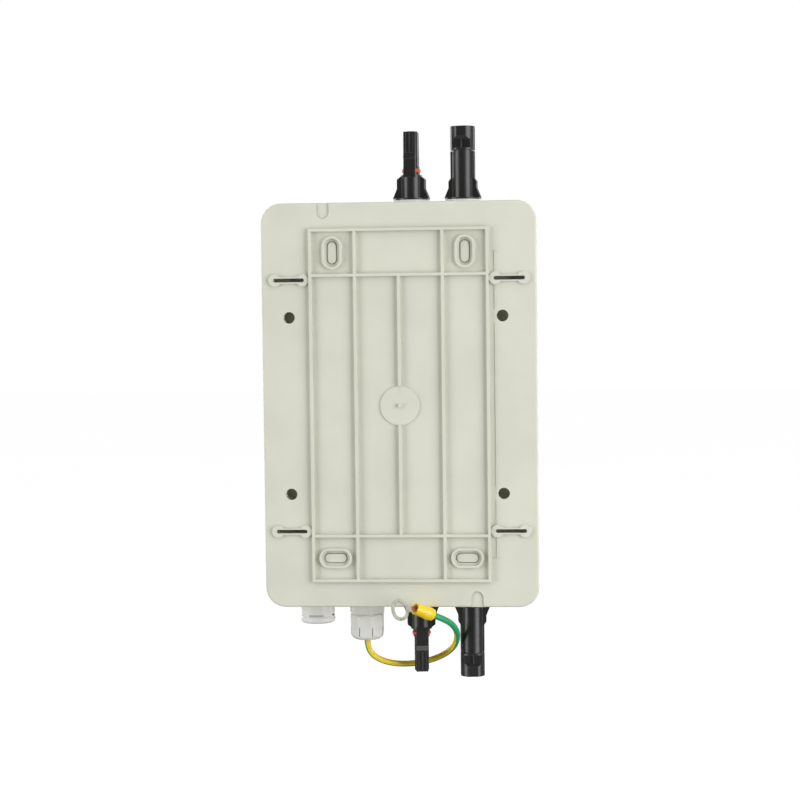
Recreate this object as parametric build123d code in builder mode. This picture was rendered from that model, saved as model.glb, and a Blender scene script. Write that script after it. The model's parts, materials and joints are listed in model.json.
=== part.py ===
"""Wall box for one string of solar panels: DC breaker, fuses and surge protector behind a hinged window.

Millimetres. The box hangs on a wall: +Z is up, the wall plane is y = 0 and the front faces -Y.
The origin is the centre of the plane that the back ribs rest on. "Depth" is the distance from the wall.
"""
from build123d import *
from math import cos, pi, radians, sin
import os

os.makedirs("parts", exist_ok=True)

# ---------------------------------------------------------------- driving dimensions
# enclosure
box_width = 190.0
box_height = 280.0
corner_radius = 14.0
wall = 3.0
rib_height = 2.5
seam_depth = 66.0
gasket_thickness = 1.2
cover_depth = 100.0
back_edge_radius = 1.5
front_edge_radius = 3.0

# ribs on the back
rib_thickness = 2.0
frame_half_width = 61.0
frame_half_height = 121.2
inner_rib_x = 30.2
cross_rib_z = 90.1
gate_disc_radius = 13.6
gate_disc_height = 0.7
gate_nub_radius = 1.3

# knock-out ovals for wall screws
oval_x = 45.7
oval_z = 105.6
oval_length = 22.8
oval_width = 13.9
oval_ring = 1.7
oval_ring_height = 2.0
score_width = 0.7
score_depth = 1.4
score_inset = 1.6

# strap slots and lug holes in the side strips
slot_x = 76.0
slot_z = 87.0
slot_length = 21.6
slot_width = 2.6
slot_boss_length = 28.0
slot_boss_radius = 4.35
slot_boss_height = 1.4
slot_depth = 10.0
lug_hole_x = (76.1, -71.2)
lug_hole_z = 61.2
lug_hole_radius = 4.0
lug_hole_depth = 14.0
lug_boss_wall = 2.5
edge_notch_x = 52.0
edge_notch_radius = 4.35
edge_notch_end = 129.0
edge_notch_depth = 1.0
guide_line_x = -66.0
guide_line_half = 105.6
guide_line_width = 0.7
guide_line_height = 0.3
guide_tick = 5.0

# cover, window well and fixings
screw_x = 85.0
screw_z = 130.0
screw_radius = 2.0
screw_head_radius = 4.2
screw_head_height = 3.0
screw_length = 48.0
pillar_radius = 5.5
well_width = 154.0
well_height = 70.0
well_floor_depth = 87.5
well_wall = 2.5
well_corner = 5.0
cutout_width = 145.0
cutout_gap = 0.5
lip_thickness = 1.4
lip_height = 3.0
fit_gap = 0.3

# hinged window
door_width = 164.0
door_height = 97.0
door_wall = 2.2
door_depth = 108.5
door_corner = 8.0
door_gap = 0.5
hinge_z = 52.0
hinge_depth = 105.0
hinge_x = 57.0
knuckle_radius = 3.0
knuckle_width = 9.2
ear_thickness = 4.0
pin_radius = 1.25
pin_clearance = 0.05

# row of devices on the rail
rail_depth = 40.0
rail_length = 150.0
rail_height = 35.0
rail_hat = 7.5
rail_thickness = 1.0
rail_fixing_x = 60.0
module_width = 18.0
device_height = 90.0
shoulder_depth = 84.0
fuse_length = 38.0
nose_end_wall = 3.5
nose_height = fuse_length + 2 * nose_end_wall
nose_depth = 95.0
device_back_depth = 34.5
terminal_well_radius = 2.6
terminal_z = 34.0
wire_entry_depth = 62.0
device_gap = 0.2

# panel connectors
connector_depth = 34.0
inlet_latch_x = -7.6
inlet_shell_x = -43.8
outlet_latch_x = -11.2
outlet_shell_x = -47.3
seal_thickness = 2.4
seal_radius = 12.6
stub_radius = 7.8
stub_length = 14.0
panel_nut_flats = 20.0
panel_nut_thickness = 5.0
latch_length = 50.4
shell_length = 53.3
connector_turn = 7.0
wing_base = 12.7
wing_mid = 9.8
wing_thickness = 7.0
contact_radius = 2.0

# gland, vent plug and earth lead
gland_x = 27.4
vent_x = 62.5
gland_collar_height = 9.0
gland_collar_flats = 22.0
gland_nut_height = 18.4
gland_nut_radius = 12.0
gland_nut_sides = 8
gland_nut_turn = 22.5
gland_bore = 4.6
gland_stub_radius = 9.8
vent_height = 16.2
vent_radius = 12.2
lead_diameter = 4.3
ring_outer_radius = 7.5
ring_hole_radius = 5.25
ring_thickness = 1.0
sleeve_length = 15.0


# ---------------------------------------------------------------- planes
def layer(depth):
    """Plane parallel to the wall at a depth; its sketch x is +X, its y is +Z and it extrudes to the front."""
    return Plane(origin=(0, -depth, 0), x_dir=(1, 0, 0), z_dir=(0, -1, 0))


def top_port(x, turn=0):
    """Plane on the top wall at a port, looking out of the box, turned clockwise as seen from above."""
    port = Plane(origin=(x, -connector_depth, box_height / 2), x_dir=(1, 0, 0), z_dir=(0, 0, 1))
    return port.rotated((0, 0, -turn))


def bottom_port(x, turn=0):
    """Plane on the bottom wall at a port, looking out of the box, turned clockwise as seen from above."""
    port = Plane(origin=(x, -connector_depth, -box_height / 2), x_dir=(-1, 0, 0), z_dir=(0, 0, -1))
    return port.rotated((0, 0, turn))


def section(port):
    """Plane through a port's axis: sketch x runs across, sketch y runs out of the box."""
    return Plane(origin=port.origin, x_dir=port.x_dir, z_dir=-port.y_dir)


def side_section(port):
    """Plane through a port's axis at right angles to section(): sketch x runs to the back."""
    return Plane(origin=port.origin, x_dir=port.y_dir, z_dir=port.x_dir)


def port_axis(port):
    """The axis that a port's round parts are turned about."""
    return Axis(port.origin, port.z_dir)


# ---------------------------------------------------------------- back shell
four_slots = [(x, z) for x in (-slot_x, slot_x) for z in (-slot_z, slot_z)]
lug_holes = [(x, z) for x in lug_hole_x for z in (-lug_hole_z, lug_hole_z)]
four_screws = [(x, z) for x in (-screw_x, screw_x) for z in (-screw_z, screw_z)]
ovals = [(x, z, 90 if z > 0 else 0) for x in (-oval_x, oval_x) for z in (-oval_z, oval_z)]
panel_depth = rib_height
panel_inside = rib_height + wall
inner_width = box_width - 2 * wall
inner_height = box_height - 2 * wall
inner_corner = corner_radius - wall
rail_back_depth = rail_depth - rail_hat

with BuildPart() as back_shell:
    with BuildSketch(layer(panel_depth)):
        RectangleRounded(box_width, box_height, corner_radius)
    extrude(amount=seam_depth - panel_depth)
    fillet(back_shell.faces().sort_by(Axis.Y)[-1].edges(), back_edge_radius)
    with BuildSketch(layer(panel_inside)):
        RectangleRounded(inner_width, inner_height, inner_corner)
    extrude(amount=seam_depth, mode=Mode.SUBTRACT)
    # lip that enters the cover
    with BuildSketch(layer(seam_depth - lip_height)):
        RectangleRounded(inner_width, inner_height, inner_corner)
        offset(amount=-lip_thickness - fit_gap, mode=Mode.SUBTRACT)
    extrude(amount=lip_height)
    with BuildSketch(layer(seam_depth)):
        RectangleRounded(inner_width - 2 * fit_gap, inner_height - 2 * fit_gap, inner_corner - fit_gap)
        offset(amount=-lip_thickness, mode=Mode.SUBTRACT)
        with Locations(*four_screws):
            Circle(pillar_radius + fit_gap, mode=Mode.SUBTRACT)
    extrude(amount=lip_height)
    # rib frame that rests on the wall
    with BuildSketch(layer(0)):
        Rectangle(2 * frame_half_width + rib_thickness, 2 * frame_half_height + rib_thickness)
        Rectangle(
            2 * frame_half_width - rib_thickness, 2 * frame_half_height - rib_thickness, mode=Mode.SUBTRACT
        )
        with Locations((-inner_rib_x, 0), (inner_rib_x, 0)):
            Rectangle(rib_thickness, 2 * frame_half_height)
        with Locations((0, -cross_rib_z), (0, cross_rib_z)):
            Rectangle(2 * frame_half_width, rib_thickness)
        Rectangle(rib_thickness, 2 * cross_rib_z)
        Circle(gate_disc_radius, mode=Mode.SUBTRACT)
        Circle(gate_nub_radius)
    extrude(amount=rib_height)
    with BuildSketch(layer(rib_height - gate_disc_height)):
        Circle(gate_disc_radius)
    extrude(amount=gate_disc_height)
    # oval rings with a scored knock-out in each
    for x, z, turn in ovals:
        with BuildSketch(layer(rib_height - oval_ring_height)):
            with Locations((x, z)):
                SlotOverall(oval_length, oval_width, rotation=turn)
                SlotOverall(
                    oval_length - 2 * oval_ring, oval_width - 2 * oval_ring, rotation=turn, mode=Mode.SUBTRACT
                )
        extrude(amount=oval_ring_height)
        score_length = oval_length - 2 * oval_ring - 2 * score_inset
        score_height = oval_width - 2 * oval_ring - 2 * score_inset
        with BuildSketch(layer(panel_depth)):
            with Locations((x, z)):
                SlotOverall(score_length, score_height, rotation=turn)
                SlotOverall(
                    score_length - 2 * score_width,
                    score_height - 2 * score_width,
                    rotation=turn,
                    mode=Mode.SUBTRACT,
                )
        extrude(amount=score_depth, mode=Mode.SUBTRACT)
    # strap slots: two round bosses joined by a bar, with a blind slot through both
    for x, z in four_slots:
        boss_pitch = slot_boss_length / 2 - slot_boss_radius
        with BuildSketch(layer(rib_height - slot_boss_height)):
            with Locations((x - boss_pitch, z), (x + boss_pitch, z)):
                Circle(slot_boss_radius)
            with Locations((x, z)):
                Rectangle(2 * boss_pitch, slot_width + rib_thickness)
        extrude(amount=slot_boss_height)
        with BuildSketch(layer(panel_inside)):
            with Locations((x, z)):
                SlotOverall(slot_length + 2 * lug_boss_wall, slot_width + 2 * lug_boss_wall)
        extrude(amount=slot_depth)
        with BuildSketch(layer(0)):
            with Locations((x, z)):
                SlotOverall(slot_length, slot_width)
        extrude(amount=panel_depth + slot_depth, mode=Mode.SUBTRACT)
    # blind holes for outside fixing lugs
    with BuildSketch(layer(panel_inside)):
        with Locations(*lug_holes):
            Circle(lug_hole_radius + lug_boss_wall)
    extrude(amount=lug_hole_depth)
    with BuildSketch(layer(panel_depth)):
        with Locations(*lug_holes):
            Circle(lug_hole_radius)
    extrude(amount=lug_hole_depth, mode=Mode.SUBTRACT)
    # rounded notches at the top and bottom edges
    notch_centre = edge_notch_end + edge_notch_radius
    for x, z in ((edge_notch_x, notch_centre), (-edge_notch_x, -notch_centre)):
        with BuildSketch(layer(panel_depth)):
            with Locations((x, z)):
                Circle(edge_notch_radius)
            with Locations((x, (z + (box_height / 2 if z > 0 else -box_height / 2)) / 2)):
                Rectangle(2 * edge_notch_radius, box_height / 2 - notch_centre)
        extrude(amount=edge_notch_depth, mode=Mode.SUBTRACT)
    # fine drilling guide line beside the frame
    with BuildSketch(layer(panel_depth - guide_line_height)):
        with Locations((guide_line_x, 0)):
            Rectangle(guide_line_width, 2 * guide_line_half)
        with Locations((guide_line_x, guide_line_half), (guide_line_x, -guide_line_half)):
            Rectangle(guide_tick, guide_line_width)
        for x, z in four_slots + lug_holes:
            with Locations((x, z)):
                Rectangle(slot_boss_length, 2 * slot_boss_radius + 1, mode=Mode.SUBTRACT)
    extrude(amount=guide_line_height)
    # pillars for the cover screws and posts for the rail
    with BuildSketch(layer(panel_inside)):
        with Locations(*four_screws):
            Circle(pillar_radius)
    extrude(amount=seam_depth - panel_inside)
    with BuildSketch(layer(seam_depth - 22)):
        with Locations(*four_screws):
            Circle(screw_radius)
    extrude(amount=22, mode=Mode.SUBTRACT)
    with BuildSketch(layer(panel_inside)):
        with Locations((-rail_fixing_x, 0), (rail_fixing_x, 0)):
            Circle(6)
            Rectangle(20, 2)
            Rectangle(2, 20)
    extrude(amount=rail_back_depth - panel_inside)
    with BuildSketch(layer(rail_back_depth - 12)):
        with Locations((-rail_fixing_x, 0), (rail_fixing_x, 0)):
            Circle(screw_radius)
    extrude(amount=12, mode=Mode.SUBTRACT)
    # holes in the top and bottom walls
    for port, radius in (
        (top_port(inlet_latch_x), stub_radius),
        (top_port(inlet_shell_x), stub_radius),
        (bottom_port(outlet_latch_x), stub_radius),
        (bottom_port(outlet_shell_x), stub_radius),
        (bottom_port(gland_x), gland_stub_radius),
        (bottom_port(vent_x), gland_stub_radius),
    ):
        with BuildSketch(port.offset(1)):
            Circle(radius + 0.1)
        extrude(amount=-wall - 2, mode=Mode.SUBTRACT)

back_shell.part.label = "back_shell"
export_step(back_shell.part, "parts/back_shell.step")

# ---------------------------------------------------------------- seal between shell and cover
cover_seam = seam_depth + gasket_thickness

with BuildPart() as cover_gasket:
    with BuildSketch(layer(seam_depth)):
        RectangleRounded(box_width - 2 * fit_gap, box_height - 2 * fit_gap, corner_radius - fit_gap)
        RectangleRounded(inner_width, inner_height, inner_corner, mode=Mode.SUBTRACT)
    extrude(amount=gasket_thickness)

cover_gasket.part.label = "cover_gasket"
export_step(cover_gasket.part, "parts/cover_gasket.step")

# ---------------------------------------------------------------- front cover
ear_offset = knuckle_width / 2 + fit_gap + ear_thickness / 2
ear_places = [side * hinge_x + step * ear_offset for side in (-1, 1) for step in (-1, 1)]

with BuildPart() as front_cover:
    with BuildSketch(layer(cover_seam)):
        RectangleRounded(box_width, box_height, corner_radius)
    extrude(amount=cover_depth - cover_seam)
    fillet(front_cover.faces().sort_by(Axis.Y)[0].edges(), front_edge_radius)
    with BuildSketch(layer(cover_seam)):
        RectangleRounded(inner_width, inner_height, inner_corner)
    extrude(amount=cover_depth - wall - cover_seam, mode=Mode.SUBTRACT)
    # screw tubes
    with BuildSketch(layer(cover_seam)):
        with Locations(*four_screws):
            Circle(pillar_radius)
    extrude(amount=cover_depth - wall - cover_seam)
    # window well
    with BuildSketch(layer(well_floor_depth - well_wall)):
        RectangleRounded(well_width + 2 * well_wall, well_height + 2 * well_wall, well_corner + well_wall)
    extrude(amount=cover_depth - wall - well_floor_depth + well_wall)
    with BuildSketch(layer(well_floor_depth)):
        RectangleRounded(well_width, well_height, well_corner)
    extrude(amount=cover_depth, mode=Mode.SUBTRACT)
    with BuildSketch(layer(well_floor_depth - well_wall)):
        Rectangle(cutout_width, (nose_height + 2 * cutout_gap))
    extrude(amount=well_wall, mode=Mode.SUBTRACT)
    # screw holes with sunk heads
    with BuildSketch(layer(cover_seam)):
        with Locations(*four_screws):
            Circle(screw_radius + fit_gap)
    extrude(amount=cover_depth, mode=Mode.SUBTRACT)
    with BuildSketch(layer(cover_depth - screw_head_height - 4)):
        with Locations(*four_screws):
            Circle(screw_head_radius + fit_gap)
    extrude(amount=cover_depth, mode=Mode.SUBTRACT)
    # hinge ears
    for x in ear_places:
        with BuildSketch(Plane.YZ.offset(x - ear_thickness / 2)):
            with Locations((-(cover_depth + hinge_depth) / 2, hinge_z)):
                Rectangle(hinge_depth - cover_depth, 2 * knuckle_radius)
            with Locations((-hinge_depth, hinge_z)):
                Circle(knuckle_radius)
                Circle(pin_radius, mode=Mode.SUBTRACT)
        extrude(amount=ear_thickness)

front_cover.part.label = "front_cover"
export_step(front_cover.part, "parts/front_cover.step")

# ---------------------------------------------------------------- cover screws
with BuildPart() as cover_screws:
    head_seat = cover_depth - screw_head_height - 4
    with BuildSketch(layer(head_seat)):
        with Locations(*four_screws):
            Circle(screw_head_radius)
    extrude(amount=screw_head_height)
    with BuildSketch(layer(head_seat - screw_length)):
        with Locations(*four_screws):
            Circle(screw_radius)
    extrude(amount=screw_length)
    with BuildSketch(layer(head_seat + screw_head_height - 1.2)):
        with Locations(*four_screws):
            Rectangle(5.4, 1.1)
            Rectangle(1.1, 5.4)
    extrude(amount=2, mode=Mode.SUBTRACT)

cover_screws.part.label = "cover_screws"
export_step(cover_screws.part, "parts/cover_screws.step")

# ---------------------------------------------------------------- hinged window
door_back_depth = cover_depth + door_gap

with BuildPart() as window_door:
    with BuildSketch(layer(door_back_depth)):
        RectangleRounded(door_width, door_height, door_corner)
    extrude(amount=door_depth - door_back_depth)
    fillet(window_door.faces().sort_by(Axis.Y)[0].edges(), front_edge_radius)
    with BuildSketch(layer(door_back_depth)):
        RectangleRounded(door_width - 2 * door_wall, door_height - 2 * door_wall, door_corner - door_wall)
    extrude(amount=door_depth - door_back_depth - door_wall, mode=Mode.SUBTRACT)
    for x in (-hinge_x, hinge_x):
        with BuildSketch(Plane.YZ.offset(x - knuckle_width / 2)):
            with Locations((-hinge_depth, (hinge_z + door_height / 2 - 1) / 2)):
                Rectangle(2 * knuckle_radius - 1, hinge_z - door_height / 2 + 1)
            with Locations((-hinge_depth, hinge_z)):
                Circle(knuckle_radius)
                Circle(pin_radius + pin_clearance, mode=Mode.SUBTRACT)
        extrude(amount=knuckle_width)
    # finger tab at the bottom edge
    with BuildSketch(layer(door_depth - front_edge_radius - 2.5)):
        with Locations((0, -door_height / 2)):
            SlotOverall(30, 9)
        Rectangle(door_width - 2, door_height - 2 * door_wall, mode=Mode.SUBTRACT)
    extrude(amount=2.2)

window_door.part.label = "window_door"
export_step(window_door.part, "parts/window_door.step")

with BuildPart() as door_pins:
    for x in (-hinge_x, hinge_x):
        pin_length = knuckle_width + 2 * fit_gap + 2 * ear_thickness
        with BuildSketch(Plane.YZ.offset(x - pin_length / 2)):
            with Locations((-hinge_depth, hinge_z)):
                Circle(pin_radius)
        extrude(amount=pin_length)

door_pins.part.label = "door_pins"
export_step(door_pins.part, "parts/door_pins.step")

# ---------------------------------------------------------------- rail and what holds it
rail_web_depth = rail_back_depth + rail_thickness
rail_flange = 5.0

with BuildPart() as din_rail:
    with BuildSketch(Plane.YZ.offset(-rail_length / 2)):
        with BuildLine():
            Polyline(
                (-rail_depth, rail_height / 2),
                (-rail_depth, rail_height / 2 - rail_flange),
                (-rail_web_depth, rail_height / 2 - rail_flange),
                (-rail_web_depth, -rail_height / 2 + rail_flange),
                (-rail_depth, -rail_height / 2 + rail_flange),
                (-rail_depth, -rail_height / 2),
            )
            offset(amount=rail_thickness, side=Side.LEFT)
        make_face()
    extrude(amount=rail_length)
    with BuildSketch(layer(rail_back_depth)):
        with Locations((-rail_fixing_x, 0), (rail_fixing_x, 0)):
            Circle(screw_radius + fit_gap)
        with GridLocations(25, 1, 4, 1):
            SlotOverall(15, 6)
    extrude(amount=rail_thickness, mode=Mode.SUBTRACT)

din_rail.part.label = "din_rail"
export_step(din_rail.part, "parts/din_rail.step")

with BuildPart() as rail_screws:
    with BuildSketch(layer(rail_web_depth)):
        with Locations((-rail_fixing_x, 0), (rail_fixing_x, 0)):
            Circle(4)
    extrude(amount=2.4)
    with BuildSketch(layer(rail_back_depth - 10)):
        with Locations((-rail_fixing_x, 0), (rail_fixing_x, 0)):
            Circle(screw_radius - pin_clearance)
    extrude(amount=10 + rail_thickness)
    with BuildSketch(layer(rail_web_depth + 1.4)):
        with Locations((-rail_fixing_x, 0), (rail_fixing_x, 0)):
            Rectangle(4.6, 1)
            Rectangle(1, 4.6)
    extrude(amount=2, mode=Mode.SUBTRACT)

rail_screws.part.label = "rail_screws"
export_step(rail_screws.part, "parts/rail_screws.step")


# ---------------------------------------------------------------- devices on the rail
def device_outline():
    """Side outline of a rail device: hooked back, stepped shoulders and a raised nose."""
    half = device_height / 2
    nose = nose_height / 2
    hook = rail_height / 2 + device_gap
    Polyline(
        (-device_back_depth, half - 2),
        (-device_back_depth - 8, half),
        (-shoulder_depth, half),
        (-shoulder_depth, nose),
        (-nose_depth, nose),
        (-nose_depth, -nose),
        (-shoulder_depth, -nose),
        (-shoulder_depth, -half),
        (-device_back_depth - 8, -half),
        (-device_back_depth, -half + 2),
        (-device_back_depth, -hook),
        (-rail_depth, -hook),
        (-rail_depth, hook),
        (-device_back_depth, hook),
        close=True,
    )


def device_body(left, modules, poles):
    """Body of a rail device with a screw well and a wire entry for each pole at both ends."""
    width = modules * module_width - 2 * device_gap
    pole_pitch = width / poles
    pole_places = [left + device_gap + (n + 0.5) * pole_pitch for n in range(poles)]
    with BuildPart() as body:
        with BuildSketch(Plane.YZ.offset(left + device_gap)):
            with BuildLine():
                device_outline()
            make_face()
        extrude(amount=width)
        with BuildSketch(layer(shoulder_depth - 12)):
            for x in pole_places:
                with Locations((x, terminal_z), (x, -terminal_z)):
                    Circle(terminal_well_radius)
        extrude(amount=shoulder_depth, mode=Mode.SUBTRACT)
        for end in (1, -1):
            entry = Plane(origin=(0, 0, end * device_height / 2), x_dir=(1, 0, 0), z_dir=(0, 0, end))
            with BuildSketch(entry):
                for x in pole_places:
                    with Locations((x, -end * wire_entry_depth)):
                        RectangleRounded(8, 9, 2)
            extrude(amount=-10, mode=Mode.SUBTRACT)
        # joint lines between modules
        for n in range(1, modules):
            with BuildSketch(layer(shoulder_depth - 20)):
                with Locations((left + n * module_width, 0)):
                    Rectangle(0.5, device_height + 2)
                    Rectangle(0.6, nose_height - 1.2, mode=Mode.SUBTRACT)
            extrude(amount=shoulder_depth, mode=Mode.SUBTRACT)
    return body


row_left = -3.5 * module_width
breaker_left = row_left
surge_left = row_left + 2 * module_width
fuse_left = (row_left + 5 * module_width, row_left + 6 * module_width)

# breaker: two poles with one lever across both
lever_depth = 88.0
lever_drum = 7.2
lever_tip_depth = 105.0
lever_angle = 24.0
lever_width = 12.0
breaker_poles = [breaker_left + (n + 0.5) * module_width for n in range(2)]

with BuildPart() as breaker_body:
    add(device_body(breaker_left, 2, 2).part)
    for x in breaker_poles:
        with BuildSketch(Plane.YZ.offset(x - lever_width / 2 - device_gap)):
            with Locations((-lever_depth, 0)):
                Circle(lever_drum + fit_gap)
            with Locations((-(lever_depth + nose_depth + 1) / 2, 0)):
                Rectangle(nose_depth + 1 - lever_depth, 2 * (lever_drum + fit_gap))
        extrude(amount=lever_width + 2 * device_gap, mode=Mode.SUBTRACT)

breaker_body.part.label = "breaker_body"
export_step(breaker_body.part, "parts/breaker_body.step")

with BuildPart() as breaker_lever:
    tip_run = lever_tip_depth - lever_depth
    lean = radians(lever_angle)
    tip = (-lever_depth - tip_run * cos(lean), tip_run * sin(lean))
    for x in breaker_poles:
        with BuildSketch(Plane.YZ.offset(x - lever_width / 2)):
            with Locations((-lever_depth, 0)):
                Circle(lever_drum)
            with Locations(((-lever_depth + tip[0]) / 2, tip[1] / 2)):
                Rectangle(tip_run, 4.4, rotation=-lever_angle)
        extrude(amount=lever_width)
    with BuildSketch(Plane.YZ.offset(breaker_poles[0])):
        with Locations((tip[0] + 2.6 * cos(lean), tip[1] - 2.6 * sin(lean))):
            Rectangle(4, 3.6, rotation=-lever_angle)
    extrude(amount=module_width)

breaker_lever.part.label = "breaker_lever"
export_step(breaker_lever.part, "parts/breaker_lever.step")

# fuse holders: a body open at the nose, a swinging carrier and the fuse in it
carrier_width = 13.2
carrier_back_depth = 79.0
carrier_end = nose_height / 2 - 1.5
fuse_radius = 5.15
fuse_depth = 85.6

for n, left in enumerate(fuse_left, start=1):
    centre = left + module_width / 2
    with BuildPart() as fuse_body:
        add(device_body(left, 1, 1).part)
        with BuildSketch(Plane.YZ.offset(centre - carrier_width / 2 - device_gap)):
            with Locations((-(carrier_back_depth - device_gap + nose_depth + 2) / 2, 0)):
                Rectangle(nose_depth + 2 - carrier_back_depth + device_gap, nose_height)
        extrude(amount=carrier_width + 2 * device_gap, mode=Mode.SUBTRACT)
    fuse_body.part.label = f"fuse_holder_{n}"
    export_step(fuse_body.part, f"parts/fuse_holder_{n}.step")

    with BuildPart() as fuse_carrier:
        with BuildSketch(Plane.YZ.offset(centre - carrier_width / 2)):
            with BuildLine():
                Polyline(
                    (-carrier_back_depth, -carrier_end),
                    (-carrier_back_depth, carrier_end - 2.5),
                    (-carrier_back_depth - 4, carrier_end),
                    (-nose_depth - 1, carrier_end),
                    (-nose_depth - 5, carrier_end - 4),
                    (-nose_depth - 5, carrier_end - 10),
                    (-nose_depth - 1, carrier_end - 16),
                    (-nose_depth - 1, -carrier_end),
                    close=True,
                )
            make_face()
        extrude(amount=carrier_width)
        # bed for the fuse, open to the back
        with BuildSketch(Plane.XY.offset(-(fuse_length / 2) - device_gap)):
            with Locations((centre, -fuse_depth)):
                Circle(fuse_radius + device_gap)
            with Locations((centre, -carrier_back_depth - 2)):
                Rectangle(2 * fuse_radius + 2 * device_gap, 8)
        extrude(amount=2 * ((fuse_length / 2) + device_gap), mode=Mode.SUBTRACT)
    fuse_carrier.part.label = f"fuse_carrier_{n}"
    export_step(fuse_carrier.part, f"parts/fuse_carrier_{n}.step")

    with BuildPart() as fuse_link:
        with BuildSketch(Plane.XY.offset(-(fuse_length / 2))):
            with Locations((centre, -fuse_depth)):
                Circle(fuse_radius)
        extrude(amount=2 * (fuse_length / 2))
        with BuildSketch(Plane.XY.offset(-(fuse_length / 2) + 10)):
            with Locations((centre, -fuse_depth)):
                Circle(fuse_radius)
                Circle(fuse_radius - 0.3, mode=Mode.SUBTRACT)
        extrude(amount=2 * (fuse_length / 2) - 20, mode=Mode.SUBTRACT)
    fuse_link.part.label = f"fuse_link_{n}"
    export_step(fuse_link.part, f"parts/fuse_link_{n}.step")

# surge protector: a three-way base with plug-in modules
surge_plug_width = 16.6
surge_plug_back = 70.0

with BuildPart() as surge_base:
    add(device_body(surge_left, 3, 3).part)
    for n in range(3):
        centre = surge_left + (n + 0.5) * module_width
        with BuildSketch(layer(surge_plug_back)):
            with Locations((centre, 0)):
                Rectangle(surge_plug_width + 2 * device_gap, nose_height)
        extrude(amount=nose_depth, mode=Mode.SUBTRACT)

surge_base.part.label = "surge_base"
export_step(surge_base.part, "parts/surge_base.step")

for n in range(3):
    centre = surge_left + (n + 0.5) * module_width
    with BuildPart() as surge_module:
        with BuildSketch(layer(surge_plug_back)):
            with Locations((centre, 0)):
                RectangleRounded(surge_plug_width, nose_height - 1, 1.5)
        extrude(amount=nose_depth + 1 - surge_plug_back)
        # status window and grips at the ends
        with BuildSketch(layer(nose_depth + 0.4)):
            with Locations((centre, 0)):
                RectangleRounded(5, 8, 1)
        extrude(amount=1, mode=Mode.SUBTRACT)
        for end in (-1, 1):
            with BuildSketch(layer(shoulder_depth + 2)):
                with Locations(*[(centre + 2.4 * k, end * (nose_height / 2 - 0.5)) for k in range(-3, 4)]):
                    Rectangle(0.8, 1.4)
            extrude(amount=nose_depth, mode=Mode.SUBTRACT)
    surge_module.part.label = f"surge_module_{n + 1}"
    export_step(surge_module.part, f"parts/surge_module_{n + 1}.step")

# blanking strips that fill the rest of the cut-out
row_half = 3.5 * module_width
strip_width = cutout_width / 2 - row_half - 2 * device_gap

with BuildPart() as blanking_strips:
    with BuildSketch(layer(well_floor_depth)):
        for side in (-1, 1):
            with Locations((side * (row_half + device_gap + cutout_width / 2) / 2, 0)):
                RectangleRounded(strip_width, (nose_height + 2 * cutout_gap) + 4, 1.5)
    extrude(amount=1.6)
    with BuildSketch(layer(well_floor_depth - well_wall - 3)):
        for side in (-1, 1):
            with Locations((side * (row_half + device_gap + cutout_width / 2) / 2, 0)):
                Rectangle(strip_width - 2, (nose_height + 2 * cutout_gap) - 1)
                Rectangle(strip_width - 4, (nose_height + 2 * cutout_gap) - 4, mode=Mode.SUBTRACT)
    extrude(amount=well_wall + 3)

blanking_strips.part.label = "blanking_strips"
export_step(blanking_strips.part, "parts/blanking_strips.step")


stop_width = 8.0
stop_half = 24.0
stop_depth = 52.0
rail_hook = rail_height / 2 + device_gap

with BuildPart() as rail_stops:
    for left in (-row_half - device_gap - stop_width, row_half + device_gap):
        with BuildSketch(Plane.YZ.offset(left)):
            with BuildLine():
                Polyline(
                    (-device_back_depth, stop_half),
                    (-stop_depth, stop_half - 4),
                    (-stop_depth, -stop_half + 4),
                    (-device_back_depth, -stop_half),
                    (-device_back_depth, -rail_hook),
                    (-rail_depth, -rail_hook),
                    (-rail_depth, rail_hook),
                    (-device_back_depth, rail_hook),
                    close=True,
                )
            make_face()
        extrude(amount=stop_width)
        with BuildSketch(layer(stop_depth - 3)):
            with Locations((left + stop_width / 2, 0)):
                Circle(terminal_well_radius)
        extrude(amount=3, mode=Mode.SUBTRACT)

rail_stops.part.label = "rail_stops"
export_step(rail_stops.part, "parts/rail_stops.step")


# ---------------------------------------------------------------- panel connectors
def connector_root(port):
    """Flange and threaded stub that both connector bodies grow from."""
    with BuildPart() as root:
        with BuildSketch(port.offset(seal_thickness)):
            Circle(seal_radius)
        extrude(amount=1.2)
        with BuildSketch(port.offset(-wall - stub_length)):
            Circle(stub_radius)
        extrude(amount=wall + stub_length + seal_thickness)
    return root


def connector_wings(port, body_half, mid_height, shoulder_height):
    """Pair of flared side wings, one plate right through the round body."""
    with BuildPart() as wings:
        with BuildSketch(section(port).offset(-wing_thickness / 2)):
            with BuildLine():
                Polyline(
                    (-wing_base, seal_thickness + 1.2),
                    (-wing_mid, seal_thickness + 8.2),
                    (-wing_mid, mid_height),
                    (-body_half + 1, shoulder_height),
                    (body_half - 1, shoulder_height),
                    (wing_mid, mid_height),
                    (wing_mid, seal_thickness + 8.2),
                    (wing_base, seal_thickness + 1.2),
                    close=True,
                )
            make_face()
        extrude(amount=wing_thickness)
    return wings


latch_body_radius = 7.45
latch_shoulder = 20.0
nose_radius = 5.1
nose_bore = 3.2
ring_section = 1.35
ring_height = 23.0
ring_centre = 5.4
finger_width = 8.4
finger_gap = 0.6
finger_root = latch_shoulder - 1.6
finger_step = 26.0
barb_height = 30.9
barb_top = 34.8
barb_reach = 8.0
finger_reach = 7.2


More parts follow.
